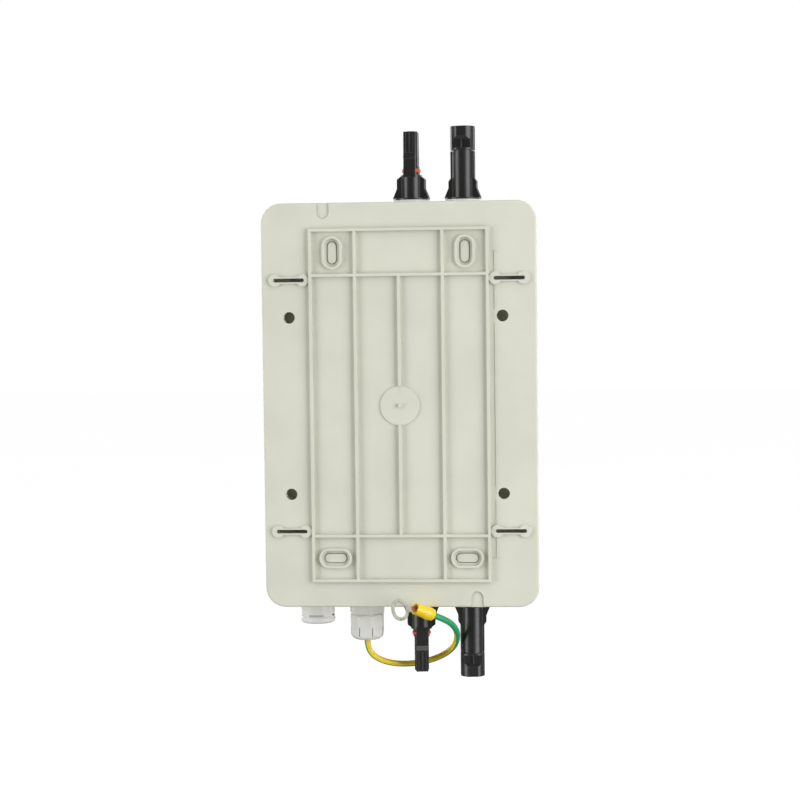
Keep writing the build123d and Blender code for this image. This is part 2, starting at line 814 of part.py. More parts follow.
def latch_connector(port):
    """Slim coupler: round body, tube with a seal ring and two long spring fingers."""
    with BuildPart() as body:
        add(connector_root(port).part)
        add(connector_wings(port, latch_body_radius, 17.0, latch_shoulder - 0.5).part)
        with BuildSketch(port.offset(seal_thickness)):
            Circle(latch_body_radius)
        extrude(amount=latch_shoulder - seal_thickness)
        with BuildSketch(section(port)):
            with BuildLine():
                Polyline(
                    (0, latch_shoulder - 1),
                    (6.0, latch_shoulder - 1),
                    (6.0, ring_height - ring_section),
                    (ring_centre - ring_section, ring_height - ring_section),
                    (ring_centre - ring_section, ring_height + ring_section),
                    (5.8, ring_height + ring_section),
                    (5.8, ring_height + ring_section + 1.1),
                    (nose_radius, ring_height + ring_section + 1.8),
                    (nose_radius, latch_length - 0.8),
                    (nose_radius - 0.8, latch_length),
                    (0, latch_length),
                    close=True,
                )
            make_face()
        revolve(axis=port_axis(port))
        # spring fingers front and back, with a barb and a grooved tip
        for side in (-1, 1):
            with BuildSketch(side_section(port).offset(-finger_width / 2)):
                with BuildLine():
                    Polyline(
                        (side * nose_radius, finger_root),
                        (side * (barb_reach - 0.2), finger_root),
                        (side * (barb_reach - 0.2), latch_shoulder),
                        (side * (finger_reach + 0.2), barb_height),
                        (side * barb_reach, barb_height + 0.4),
                        (side * finger_reach, barb_top),
                        (side * (finger_reach - 0.5), latch_length - 0.4),
                        (side * (nose_radius + finger_gap), latch_length - 0.4),
                        (side * (nose_radius + finger_gap), finger_step + 1),
                        (side * (ring_centre + ring_section + 0.1), finger_step),
                        (side * (ring_centre + ring_section + 0.1), latch_shoulder),
                        (side * nose_radius, latch_shoulder),
                        close=True,
                    )
                make_face()
            extrude(amount=finger_width)
            with BuildSketch(port.offset(barb_top + 0.6)):
                with Locations((-1.45, side * finger_reach), (1.45, side * finger_reach)):
                    Rectangle(2.2, 1.5)
            extrude(amount=latch_length, mode=Mode.SUBTRACT)
        with BuildSketch(port.offset(latch_length)):
            Circle(nose_bore)
        extrude(amount=-30, mode=Mode.SUBTRACT)
    return body


shell_half = 8.3
shell_bore = 5.35
shell_mouth = 6.3
window_floor = 6.0
window_ramp = 6.8
window_low = 38.2
window_high = 44.4
window_width = 14.4
ramp_width = 10.4
ramp_rise = 1.8
shell_step = 36.0
neck_length = 0.9
barrel_radius = 7.8
barrel_rib = 6.0
cap_radius = 8.9


def shell_connector(port):
    """Wide coupler: rounded square shell with a latch window front and back."""
    with BuildPart() as body:
        add(connector_root(port).part)
        add(connector_wings(port, shell_half, 15.0, 18.5).part)
        # round lower body with a rib at each side, a neck, and a cap with four flats
        with BuildSketch(port.offset(seal_thickness)):
            Circle(barrel_radius)
            Rectangle(2 * shell_half, barrel_rib)
        extrude(amount=shell_step - seal_thickness)
        with BuildSketch(port.offset(shell_step)):
            Circle(barrel_radius - 0.5)
        extrude(amount=neck_length)
        with BuildSketch(port.offset(shell_step + neck_length)):
            Circle(cap_radius)
            Rectangle(2 * shell_half, 2 * shell_half, mode=Mode.INTERSECT)
        extrude(amount=shell_length - shell_step - neck_length)
        with BuildSketch(port.offset(shell_length)):
            Circle(shell_mouth)
            RectangleRounded(finger_width + 0.8, 2 * shell_half - 1.8, 1.2)
        extrude(amount=window_high + ramp_rise - shell_length, mode=Mode.SUBTRACT)
        with BuildSketch(port.offset(shell_length)):
            Circle(shell_bore)
        extrude(amount=-30, mode=Mode.SUBTRACT)
        # latch windows, blind pockets with a ramp at the upper end
        for side in (-1, 1):
            with BuildSketch(port.offset(window_low)):
                with Locations((0, side * (window_floor + shell_half) / 2)):
                    Rectangle(window_width, shell_half - window_floor)
            extrude(amount=window_high - window_low, mode=Mode.SUBTRACT)
            with BuildSketch(side_section(port).offset(-ramp_width / 2)):
                with BuildLine():
                    Polyline(
                        (side * window_ramp, window_high - 1),
                        (side * (shell_half + 0.5), window_high - 1),
                        (side * (shell_half + 0.5), window_high + ramp_rise),
                        (side * shell_half, window_high + ramp_rise),
                        (side * window_ramp, window_high),
                        close=True,
                    )
                make_face()
            extrude(amount=ramp_width, mode=Mode.SUBTRACT)
            with BuildSketch(port.offset(window_low)):
                with Locations((0, side * (window_floor + 0.7))):
                    Rectangle(0.7, 1.6)
            extrude(amount=window_high - window_low)
    return body


ports = {
    "inlet": (top_port(inlet_latch_x, connector_turn), top_port(inlet_shell_x, connector_turn)),
    "outlet": (bottom_port(outlet_latch_x, connector_turn), bottom_port(outlet_shell_x, connector_turn)),
}

for name, (latch_port, shell_port) in ports.items():
    latch_body = latch_connector(latch_port)
    latch_body.part.label = f"{name}_latch_connector"
    export_step(latch_body.part, f"parts/{name}_latch_connector.step")

    shell_body = shell_connector(shell_port)
    shell_body.part.label = f"{name}_shell_connector"
    export_step(shell_body.part, f"parts/{name}_shell_connector.step")

    with BuildPart() as seal_ring:
        with BuildSketch(section(latch_port)):
            with Locations((ring_centre, ring_height)):
                Circle(ring_section)
        revolve(axis=port_axis(latch_port))
    seal_ring.part.label = f"{name}_seal_ring"
    export_step(seal_ring.part, f"parts/{name}_seal_ring.step")

    with BuildPart() as socket_contact:
        with BuildSketch(latch_port.offset(latch_length - 30)):
            Circle(nose_bore)
            Circle(contact_radius, mode=Mode.SUBTRACT)
        extrude(amount=24)
    socket_contact.part.label = f"{name}_socket_contact"
    export_step(socket_contact.part, f"parts/{name}_socket_contact.step")

    with BuildPart() as pin_contact:
        with BuildSketch(shell_port.offset(shell_length - 30)):
            Circle(contact_radius)
        extrude(amount=22)
        fillet(pin_contact.faces().sort_by(Axis(shell_port.origin, shell_port.z_dir))[-1].edges(), 1.2)
    pin_contact.part.label = f"{name}_pin_contact"
    export_step(pin_contact.part, f"parts/{name}_pin_contact.step")

all_ports = [port for pair in ports.values() for port in pair]

with BuildPart() as connector_seals:
    for port in all_ports:
        with BuildSketch(port):
            Circle(seal_radius + 0.2)
            Circle(stub_radius, mode=Mode.SUBTRACT)
        extrude(amount=seal_thickness)

connector_seals.part.label = "connector_seals"
export_step(connector_seals.part, "parts/connector_seals.step")

with BuildPart() as connector_nuts:
    for port in all_ports:
        with BuildSketch(port.offset(-wall - panel_nut_thickness)):
            RegularPolygon(panel_nut_flats / 2, 6, major_radius=False)
            Circle(stub_radius, mode=Mode.SUBTRACT)
        extrude(amount=panel_nut_thickness)

connector_nuts.part.label = "connector_nuts"
export_step(connector_nuts.part, "parts/connector_nuts.step")

# ---------------------------------------------------------------- cable gland
gland_port = bottom_port(gland_x)
gland_thread_radius = 9.4

with BuildPart() as gland_body:
    with BuildSketch(gland_port.offset(-wall - 9)):
        Circle(gland_stub_radius)
    extrude(amount=wall + 9)
    with BuildSketch(gland_port):
        RegularPolygon(gland_collar_flats / 2, 6, major_radius=False, rotation=12)
    extrude(amount=gland_collar_height - fit_gap)
    fillet(gland_body.edges().filter_by(Axis.Z).sort_by(SortBy.LENGTH)[-6:], 1)
    with BuildSketch(gland_port.offset(gland_collar_height - fit_gap)):
        Circle(gland_thread_radius)
    extrude(amount=9)
    with BuildSketch(gland_port.offset(-wall - 9)):
        Circle(gland_bore + 1.6)
    extrude(amount=wall + 9 + gland_collar_height + 12, mode=Mode.SUBTRACT)

gland_body.part.label = "gland_body"
export_step(gland_body.part, "parts/gland_body.step")

gland_end = gland_collar_height + gland_nut_height

with BuildPart() as gland_nut:
    with BuildSketch(section(gland_port)):
        with BuildLine():
            Polyline(
                (0, gland_collar_height),
                (gland_nut_radius - 1.1, gland_collar_height),
                (gland_nut_radius, gland_collar_height + 1.2),
                (gland_nut_radius, gland_end - 4.2),
            )
            ThreePointArc(
                (gland_nut_radius, gland_end - 4.2),
                (gland_nut_radius - 1.2, gland_end - 1.7),
                (gland_nut_radius - 4.0, gland_end),
            )
            Polyline((gland_nut_radius - 4.0, gland_end), (0, gland_end), (0, gland_collar_height))
        make_face()
    revolve(axis=port_axis(gland_port))
    # flats that end in arcs, and a narrow groove between them in the dome
    with BuildSketch(gland_port.offset(gland_collar_height)):
        RegularPolygon(gland_nut_radius - 0.45, gland_nut_sides, major_radius=False, rotation=gland_nut_turn)
    extrude(amount=gland_nut_height, mode=Mode.INTERSECT)
    with BuildSketch(gland_port.offset(gland_collar_height + gland_nut_height / 2)):
        with PolarLocations(gland_nut_radius, gland_nut_sides, start_angle=gland_nut_turn):
            Rectangle(1.6, 0.8)
    extrude(amount=gland_nut_height, mode=Mode.SUBTRACT)
    with BuildSketch(gland_port.offset(gland_collar_height)):
        Circle(gland_thread_radius + pin_clearance)
    extrude(amount=13, mode=Mode.SUBTRACT)
    with BuildSketch(gland_port.offset(gland_collar_height)):
        Circle(gland_bore)
    extrude(amount=gland_nut_height, mode=Mode.SUBTRACT)

gland_nut.part.label = "gland_nut"
export_step(gland_nut.part, "parts/gland_nut.step")

with BuildPart() as gland_seal:
    with BuildSketch(gland_port.offset(gland_collar_height + 2)):
        Circle(gland_bore + 1.6 - pin_clearance)
        Circle(lead_diameter / 2, mode=Mode.SUBTRACT)
    extrude(amount=6)
    with BuildSketch(gland_port.offset(gland_collar_height + 8)):
        Circle(gland_bore - fit_gap)
        Circle(lead_diameter / 2, mode=Mode.SUBTRACT)
    extrude(amount=gland_nut_height - 8)

gland_seal.part.label = "gland_seal"
export_step(gland_seal.part, "parts/gland_seal.step")

vent_port = bottom_port(vent_x)

with BuildPart() as lock_nuts:
    for port in (gland_port, vent_port):
        with BuildSketch(port.offset(-wall - panel_nut_thickness)):
            RegularPolygon(24 / 2, 6, major_radius=False)
            Circle(gland_stub_radius, mode=Mode.SUBTRACT)
        extrude(amount=panel_nut_thickness)

lock_nuts.part.label = "lock_nuts"
export_step(lock_nuts.part, "parts/lock_nuts.step")

with BuildPart() as vent_plug:
    with BuildSketch(vent_port.offset(-wall - 9)):
        Circle(gland_stub_radius)
    extrude(amount=wall + 9)
    with BuildSketch(section(vent_port)):
        with BuildLine():
            Polyline(
                (0, 0),
                (vent_radius - 0.4, 0),
                (vent_radius - 0.4, vent_height - 5.3),
                (vent_radius, vent_height - 4.4),
                (vent_radius, vent_height - 2.4),
            )
            ThreePointArc(
                (vent_radius, vent_height - 2.4),
                (vent_radius - 0.8, vent_height - 1.3),
                (vent_radius - 3.2, vent_height - 0.8),
            )
            ThreePointArc(
                (vent_radius - 3.2, vent_height - 0.8),
                (vent_radius / 2 - 1, vent_height - 0.2),
                (1, vent_height),
            )
            Polyline((1, vent_height), (0, vent_height), (0, 0))
        make_face()
    revolve(axis=port_axis(vent_port))
    # breathing slots round the cap and the bore to the membrane
    with BuildSketch(vent_port.offset(9.0)):
        with PolarLocations(vent_radius, 4):
            Rectangle(4, 10)
    extrude(amount=1.5, mode=Mode.SUBTRACT)
    with BuildSketch(vent_port.offset(-wall - 9)):
        Circle(5)
    extrude(amount=wall + 9 + 7, mode=Mode.SUBTRACT)

vent_plug.part.label = "vent_plug"
export_step(vent_plug.part, "parts/vent_plug.step")

# ---------------------------------------------------------------- wires inside the box
def corner_radii(points):
    """Largest radius that the two runs at each corner leave room for."""
    radii = []
    for before, corner, after in zip(points, points[1:], points[2:]):
        into = Vector(*corner) - Vector(*before)
        out = Vector(*after) - Vector(*corner)
        turn = into.get_angle(out)
        shorter = min(into.length, out.length)
        radii.append(0.45 * shorter / (sin(radians(turn / 2)) / cos(radians(turn / 2))))
        print(f"wire corner: run {shorter:.1f}, turn {turn:.0f} degrees, radius {radii[-1]:.1f}")
    return radii


def round_wire(points, diameter):
    """Round wire along straight runs joined by tangent arcs."""
    with BuildPart() as wire:
        with BuildLine() as route:
            FilletPolyline(*points, radius=corner_radii(points))
        path = route.wires()[0]
        with BuildSketch(Plane(origin=points[0], z_dir=path % 0)):
            Circle(diameter / 2)
        sweep(path=path)
    expected = pi * diameter**2 / 4 * path.length
    print(f"wire: {path.length:.1f} mm, volume {wire.part.volume:.0f}, section by length {expected:.0f}")
    return wire


stub_end = box_height / 2 - wall - stub_length
terminal_floor = device_height / 2 - 10
wire_diameter = 5.0
link_diameter = 3.0
near_top = box_height / 2 - 34
near_row = device_height / 2 + 15
string_depth = wire_entry_depth - 1.8
tap_depth = wire_entry_depth + 2.4
surge_poles = [surge_left + (n + 0.5) * module_width for n in range(3)]
fuse_poles = [left + module_width / 2 for left in fuse_left]


def string_wire(port_x, pole_x, end, bow):
    """Wire from a connector's stub to a breaker pole; end is 1 at the top and -1 at the bottom."""
    middle_x = (port_x + pole_x) / 2 + bow
    middle_depth = (connector_depth + string_depth) / 2
    return round_wire(
        [
            (port_x, -connector_depth, end * stub_end),
            (port_x, -connector_depth, end * near_top),
            (middle_x, -middle_depth, end * (near_row + near_top) / 2),
            (pole_x, -string_depth, end * near_row),
            (pole_x, -string_depth, end * terminal_floor),
        ],
        wire_diameter,
    )


def tap_wire(pole_x, fuse_x, height):
    """Thin wire from a breaker pole to a fuse, both at the top, run across at a height above them."""
    return round_wire(
        [
            (pole_x, -tap_depth, terminal_floor),
            (pole_x, -tap_depth, terminal_floor + height),
            (fuse_x, -tap_depth, terminal_floor + height),
            (fuse_x, -tap_depth, terminal_floor),
        ],
        link_diameter,
    )


inner_wires = {
    "inlet_wire_plus": string_wire(inlet_shell_x, breaker_poles[0], 1, 0.8),
    "inlet_wire_minus": string_wire(inlet_latch_x, breaker_poles[1], 1, 1.5),
    "outlet_wire_plus": string_wire(outlet_shell_x, breaker_poles[0], -1, 0.8),
    "outlet_wire_minus": string_wire(outlet_latch_x, breaker_poles[1], -1, 1.5),
    "tap_wire_plus": tap_wire(breaker_poles[0], fuse_poles[1], 32),
    "tap_wire_minus": tap_wire(breaker_poles[1], fuse_poles[0], 26),
    "surge_wire_minus": round_wire(
        [
            (fuse_poles[0], -wire_entry_depth, -terminal_floor),
            (fuse_poles[0], -wire_entry_depth, -terminal_floor - 17),
            (surge_poles[2], -wire_entry_depth, -terminal_floor - 17),
            (surge_poles[2], -wire_entry_depth, -terminal_floor),
        ],
        link_diameter,
    ),
    "surge_wire_plus": round_wire(
        [
            (fuse_poles[1], -wire_entry_depth, -terminal_floor),
            (fuse_poles[1], -wire_entry_depth, -terminal_floor - 19),
            (fuse_poles[1] - 12, -wire_entry_depth - 6, -terminal_floor - 35),
            (surge_poles[2], -wire_entry_depth - 9, -terminal_floor - 41),
            (surge_poles[0] + 14, -wire_entry_depth - 8, -terminal_floor - 35),
            (surge_poles[0], -wire_entry_depth, -terminal_floor - 19),
            (surge_poles[0], -wire_entry_depth, -terminal_floor),
        ],
        link_diameter,
    ),
    # the earth wire comes through the gland's seal and goes to the middle pole of the surge protector
    "earth_wire": round_wire(
        [
            (gland_x, -connector_depth, -box_height / 2 - gland_end),
            (gland_x, -connector_depth, -box_height / 2 + wall + 6),
            (gland_x / 2, -(connector_depth + wire_entry_depth) / 2 + 2, -box_height / 2 + 43),
            (surge_poles[1], -wire_entry_depth, -terminal_floor - 31),
            (surge_poles[1], -wire_entry_depth, -terminal_floor),
        ],
        lead_diameter,
    ),
}

for name, wire in inner_wires.items():
    wire.part.label = name
    export_step(wire.part, f"parts/{name}.step")

# ---------------------------------------------------------------- earth lead and its ring terminal
lead_end = (-20.9, -0.5, -144.9)
lead_last_corner = (-28.6, -5.9, -148.7)
sleeve_direction = Vector(*lead_end) - Vector(*lead_last_corner)
lug_direction = (0.70, 0.71, 0.05)
lug_reach = 13.5
sleeve_axis = Plane(origin=lead_end, z_dir=sleeve_direction)
mouth = sleeve_axis.offset(sleeve_length).origin
lug_x = Vector(*lug_direction).normalized()
ring_tilt = Vector(0.41, 0, 0.91)
lug_normal = lug_x.cross(ring_tilt).normalized()
lug_plane = Plane(origin=mouth + lug_x * lug_reach, x_dir=lug_x, z_dir=lug_normal)

lead_points = [
    (gland_x, -connector_depth, -box_height / 2 - gland_end),
    (gland_x, -connector_depth, -172.2),
    (24.8, -35.0, -178.7),
    (18.6, -37.4, -183.6),
    (9.0, -41.4, -187.0),
    (-3.0, -46.0, -188.0),
    (-15.5, -47.5, -186.0),
    (-27.0, -42.0, -180.5),
    (-35.0, -33.0, -172.5),
    (-37.6, -23.0, -162.5),
    (-35.0, -13.0, -154.2),
    lead_last_corner,
    lead_end,
]


earth_lead = round_wire(lead_points, lead_diameter)
earth_lead.part.label = "earth_lead"
export_step(earth_lead.part, "parts/earth_lead.step")

sleeve_wire_radius = 4.8
sleeve_mouth_radius = 4.0
tongue_width = 4.4
tongue_hold = 2.2
strand_width = 3.4
strand_height = 1.7
strand_length = 4.2

with BuildPart() as terminal_sleeve:
    with BuildSketch(sleeve_axis):
        Circle(sleeve_wire_radius - 0.6)
    with BuildSketch(sleeve_axis.offset(4)):
        Circle(sleeve_wire_radius)
    loft()
    with BuildSketch(sleeve_axis.offset(4)):
        Circle(sleeve_wire_radius)
    with BuildSketch(sleeve_axis.offset(8)):
        Circle(sleeve_mouth_radius + 0.2)
    loft()
    with BuildSketch(sleeve_axis.offset(8)):
        Circle(sleeve_mouth_radius + 0.2)
    with BuildSketch(sleeve_axis.offset(sleeve_length)):
        Circle(sleeve_mouth_radius)
    loft()
    with BuildSketch(sleeve_axis.offset(sleeve_length)):
        Circle(sleeve_mouth_radius - 0.8)
    extrude(amount=-sleeve_length + 1.5, mode=Mode.SUBTRACT)

terminal_sleeve.part.label = "terminal_sleeve"
export_step(terminal_sleeve.part, "parts/terminal_sleeve.step")

with BuildPart() as ring_terminal:
    with BuildSketch(sleeve_axis.offset(1.6)):
        Circle(sleeve_mouth_radius - 0.9)
    extrude(amount=sleeve_length - 2.6)
    with BuildSketch(lug_plane.offset(-ring_thickness / 2)):
        Circle(ring_outer_radius)
        with Locations((-(lug_reach + tongue_hold) / 2, 0)):
            Rectangle(lug_reach + tongue_hold, tongue_width)
        Circle(ring_hole_radius, mode=Mode.SUBTRACT)
    extrude(amount=ring_thickness)

ring_terminal.part.label = "ring_terminal"
export_step(ring_terminal.part, "parts/ring_terminal.step")

# bare strands that lie on the tongue of the ring terminal
with BuildPart() as wire_strands:
    strand_centre = mouth - lug_normal * (ring_thickness + strand_height) / 2
    with BuildSketch(Plane(origin=strand_centre, x_dir=lug_x.cross(lug_normal), z_dir=lug_x)):
        RectangleRounded(strand_width, strand_height, 0.7)
    extrude(amount=strand_length)

wire_strands.part.label = "wire_strands"
export_step(wire_strands.part, "parts/wire_strands.step")
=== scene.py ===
"""Looks of the wall box of one solar string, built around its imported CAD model.

Metres, in the CAD's own frame: +Z up, the wall plane is y = 0 and the window faces -Y.
"""

import json
import logging
from dataclasses import dataclass
from enum import Enum
from math import cos, pi, radians, sin
from typing import Any, Sequence, Union

import bpy
import numpy as np
from mathutils import Euler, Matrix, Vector

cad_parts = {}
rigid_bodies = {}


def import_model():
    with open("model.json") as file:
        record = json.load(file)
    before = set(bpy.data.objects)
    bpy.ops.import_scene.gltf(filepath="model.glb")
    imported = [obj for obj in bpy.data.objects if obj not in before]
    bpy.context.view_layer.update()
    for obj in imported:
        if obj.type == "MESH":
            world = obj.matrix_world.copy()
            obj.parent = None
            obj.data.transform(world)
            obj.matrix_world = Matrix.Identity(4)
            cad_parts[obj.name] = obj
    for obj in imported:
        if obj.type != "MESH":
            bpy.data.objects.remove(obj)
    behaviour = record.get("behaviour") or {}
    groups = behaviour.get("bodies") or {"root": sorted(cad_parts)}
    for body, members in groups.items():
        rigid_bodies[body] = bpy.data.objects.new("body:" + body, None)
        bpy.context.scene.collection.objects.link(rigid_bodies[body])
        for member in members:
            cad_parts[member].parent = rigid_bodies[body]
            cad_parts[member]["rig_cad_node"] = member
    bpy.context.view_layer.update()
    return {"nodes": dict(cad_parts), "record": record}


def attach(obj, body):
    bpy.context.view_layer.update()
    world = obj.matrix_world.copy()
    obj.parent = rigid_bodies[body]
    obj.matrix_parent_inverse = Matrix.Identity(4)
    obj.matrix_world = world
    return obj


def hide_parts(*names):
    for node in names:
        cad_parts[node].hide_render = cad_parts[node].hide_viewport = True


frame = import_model()
log = logging.getLogger("wall_box")

Colour = tuple[float, float, float]
Point = tuple[float, float, float]
MM = 0.001
BEVEL_SAMPLES = 4
CORNER_SAMPLES = 6


def srgb(red: int, green: int, blue: int) -> Colour:
    """Turns a colour as seen on a screen, 0 to 255, into linear light.

    Args:
        red, green, blue: the screen values.

    Returns:
        The linear colour.
    """
    seen = np.array([red, green, blue]) / 255
    light = np.where(seen <= 0.04045, seen / 12.92, ((seen + 0.055) / 1.055) ** 2.4)
    return tuple(float(v) for v in light)


def shade(colour: Colour, factor: float) -> Colour:
    """Returns the colour made lighter or darker by a factor."""
    return tuple(min(1.0, v * factor) for v in colour)


# ------------------------------------------------------------------ shader graphs
class Wire:
    """A shader socket that takes part in Python arithmetic."""

    def __init__(self, graph: "Graph", socket: bpy.types.NodeSocket) -> None:
        """Keeps the graph and the output socket."""
        self.graph = graph
        self.socket = socket

    def math(self, operation: str, other: "Number" = 0.0, swapped: bool = False,
             clamp: bool = False) -> "Wire":
        """Adds a Math node on this value and another.

        Args:
            operation: name of the Math operation.
            other: the second value.
            swapped: True if the other value comes first.
            clamp: True to keep the result from 0 to 1.

        Returns:
            The result.
        """
        pair = (other, self) if swapped else (self, other)
        settings = {"operation": operation, "use_clamp": clamp}
        made = self.graph.node("Math", settings, {0: pair[0], 1: pair[1]})
        return Wire(self.graph, made.outputs[0])

    def __add__(self, other: "Number") -> "Wire":
        """Sum."""
        return self.math("ADD", other)

    __radd__ = __add__

    def __sub__(self, other: "Number") -> "Wire":
        """Difference."""
        return self.math("SUBTRACT", other)

    def __rsub__(self, other: "Number") -> "Wire":
        """Difference, the other way round."""
        return self.math("SUBTRACT", other, swapped=True)

    def __mul__(self, other: "Number") -> "Wire":
        """Product."""
        return self.math("MULTIPLY", other)

    __rmul__ = __mul__

    def __truediv__(self, other: "Number") -> "Wire":
        """Quotient."""
        return self.math("DIVIDE", other)

    def __pow__(self, other: "Number") -> "Wire":
        """Power."""
        return self.math("POWER", other)

    def clamped(self) -> "Wire":
        """The value kept from 0 to 1."""
        return self.math("ADD", 0.0, clamp=True)

    def step(self, low: float, high: float) -> "Wire":
        """Smooth step: 0 below low, 1 above high.

        Args:
            low, high: where the step starts and ends.

        Returns:
            The stepped value.
        """
        settings = {"interpolation_type": "SMOOTHSTEP"}
        made = self.graph.node("MapRange", settings, {"Value": self, "From Min": low, "From Max": high})
        return Wire(self.graph, made.outputs[0])


Number = Union[Wire, float, int]


class Graph:
    """The node tree of one material."""

    def __init__(self, name: str) -> None:
        """Starts an empty material."""
        self.material = bpy.data.materials.new(name)
        self.material.use_nodes = True
        self.tree = self.material.node_tree
        self.tree.nodes.clear()

    def node(self, kind: str, settings: dict[str, Any], inputs: dict[Any, Any]) -> bpy.types.Node:
        """Adds one node.

        Args:
            kind: type of node, without its ShaderNode prefix.
            settings: properties, set first; "stops" are a ramp's stops as (place, colour) pairs.
            inputs: values or wires by socket name or number.

        Returns:
            The node.
        """
        made = self.tree.nodes.new("ShaderNode" + kind)
        for name, value in settings.items():
            if name == "stops":
                ramp = made.color_ramp.elements
                while len(ramp) < len(value):
                    ramp.new(0.5)
                for element, (place, colour) in zip(ramp, value):
                    element.position = place
                    element.color = (*colour, 1.0)
            else:
                setattr(made, name, value)
        for key, value in inputs.items():
            if isinstance(value, Wire):
                self.tree.links.new(value.socket, made.inputs[key])
            elif isinstance(value, tuple) and len(value) == 3 and made.inputs[key].type == "RGBA":
                made.inputs[key].default_value = (*value, 1.0)
            else:
                made.inputs[key].default_value = value
        return made

    def out(self, made: bpy.types.Node, output: Any = 0) -> Wire:
        """Wraps a node's output."""
        return Wire(self, made.outputs[output])

    def place(self) -> Wire:
        """Object coordinates, which are the CAD's own frame in metres."""
        return self.out(self.node("TexCoord", {}, {}), "Object")

    def stretched(self, scale: Point, turn: Point = (0.0, 0.0, 0.0)) -> Wire:
        """Object coordinates scaled on each axis, after an optional turn."""
        inputs = {"Vector": self.place(), "Scale": scale, "Rotation": turn}
        return self.out(self.node("Mapping", {"vector_type": "POINT"}, inputs))

    def noise(self, size: float, detail: float = 2.0, vector: Wire | None = None) -> Wire:
        """Cloudy noise from 0 to 1.

        Args:
            size: size of a patch in metres, or in the vector's own unit.
            detail: number of finer layers.
            vector: where to read it; object coordinates if left out.

        Returns:
            The noise value.
        """
        inputs = {"Vector": vector or self.place(), "Scale": 1.0 / size, "Detail": detail, "Roughness": 0.55}
        return self.out(self.node("TexNoise", {}, inputs))

    def mix(self, factor: Number, first: Any, second: Any) -> Wire:
        """Mixes two colours."""
        made = self.node("Mix", {"data_type": "RGBA"}, {0: factor, 6: first, 7: second})
        return self.out(made, 2)

    def round_edges(self, radius: float) -> Wire:
        """Normal as if the edges were rounded to this radius."""
        return self.out(self.node("Bevel", {"samples": BEVEL_SAMPLES}, {"Radius": radius}))

    def edge_mask(self, rounded: Wire, gain: float = 3.5) -> Wire:
        """1 on an edge and 0 on a flat: how far the rounded normal leans from the true one.

        Args:
            rounded: the rounded normal.
            gain: how soon a leaning normal counts as an edge.

        Returns:
            The mask.
        """
        true = self.out(self.node("NewGeometry", {}, {}), "True Normal")
        dot = self.out(self.node("VectorMath", {"operation": "DOT_PRODUCT"}, {0: rounded, 1: true}), "Value")
        return ((1.0 - dot.math("ABSOLUTE")) * gain).clamped()

    def corners(self, distance: float) -> Wire:
        """1 in the open and less in a corner, within this distance; used to paint shade into corners."""
        settings = {"samples": CORNER_SAMPLES, "only_local": True}
        made = self.node("AmbientOcclusion", settings, {"Distance": distance})
        return self.out(made, "AO")

    def bump(self, height: Wire, depth: float, normal: Wire | None = None) -> Wire:
        """Normal bent by a height field whose full range is depth metres."""
        inputs: dict[str, Any] = {"Height": height, "Strength": 1.0, "Distance": depth}
        if normal is not None:
            inputs["Normal"] = normal
        return self.out(self.node("Bump", {}, inputs))

    def finish(self, **sockets: Any) -> bpy.types.Material:
        """Closes the graph with a Principled shader.

        Args:
            sockets: its inputs, with an underscore for each space in a name.

        Returns:
            The material.
        """
        inputs = {name.replace("_", " "): value for name, value in sockets.items()}
        shader = self.node("BsdfPrincipled", {}, inputs)
        self.node("OutputMaterial", {}, {"Surface": self.out(shader)})
        return self.material


# ------------------------------------------------------------------ finishes
@dataclass(frozen=True)
class Moulding:
    """Moulded plastic: fine eroded texture, faint clouds, a painted highlight on its edges and painted shade
    in its corners.
    """

    name: str
    colour: Colour
    roughness: float = 0.45
    grain: float = 0.00045
    grain_depth: float = 0.000012
    clouds: float = 0.03
    edge_radius: float = 0.0004
    # Strength and colour of the painted highlight on edges.
    edge_light: float = 0.10
    edge_colour: Colour | None = None
    # Strength and reach of the painted shade in corners.
    corner_dark: float = 0.25
    corner_reach: float = 0.006
    coat: float = 0.0
    subsurface: float = 0.0
    cloud_size: float = 0.045
    patch_size: float = 0.004
    roughness_spread: float = 0.12
    edge_cover: float = 4.0
    corner_cover: float = 1.6
    corner_shade: float = 0.45

    def build(self) -> bpy.types.Material:
        """Returns the material."""
        g = Graph(self.name)
        cloudy = g.noise(self.cloud_size, 3.0).step(0.3, 0.7)
        base = g.mix(cloudy, shade(self.colour, 1 - self.clouds), shade(self.colour, 1 + self.clouds))
        rounded = g.round_edges(self.edge_radius)
        # Painted highlight: the colour turns lighter on edges, or turns to the highlight colour where one is
        # given.
        edge = self.edge_colour or shade(self.colour, 1 + 2 * self.edge_light)
        lit = g.mix((g.edge_mask(rounded) * self.edge_light * self.edge_cover).clamped(), base, edge)
        # Painted shade: the colour turns darker in corners, where the ambient occlusion falls.
        dark = (1.0 - g.corners(self.corner_reach)) * self.corner_dark * self.corner_cover
        colour = g.mix(dark.clamped(), lit, shade(self.colour, self.corner_shade))
        grain = g.noise(self.grain, 2.0)
        rough = self.roughness + (g.noise(self.patch_size, 3.0) - 0.5) * self.roughness_spread
        normal = g.bump(grain, self.grain_depth, rounded)
        return g.finish(
            Base_Color=colour,
            Roughness=rough,
            Normal=normal,
            Coat_Weight=self.coat,
            Coat_Roughness=0.25,
            Subsurface_Weight=self.subsurface,
            Subsurface_Radius=(0.002, 0.0015, 0.001),
        )


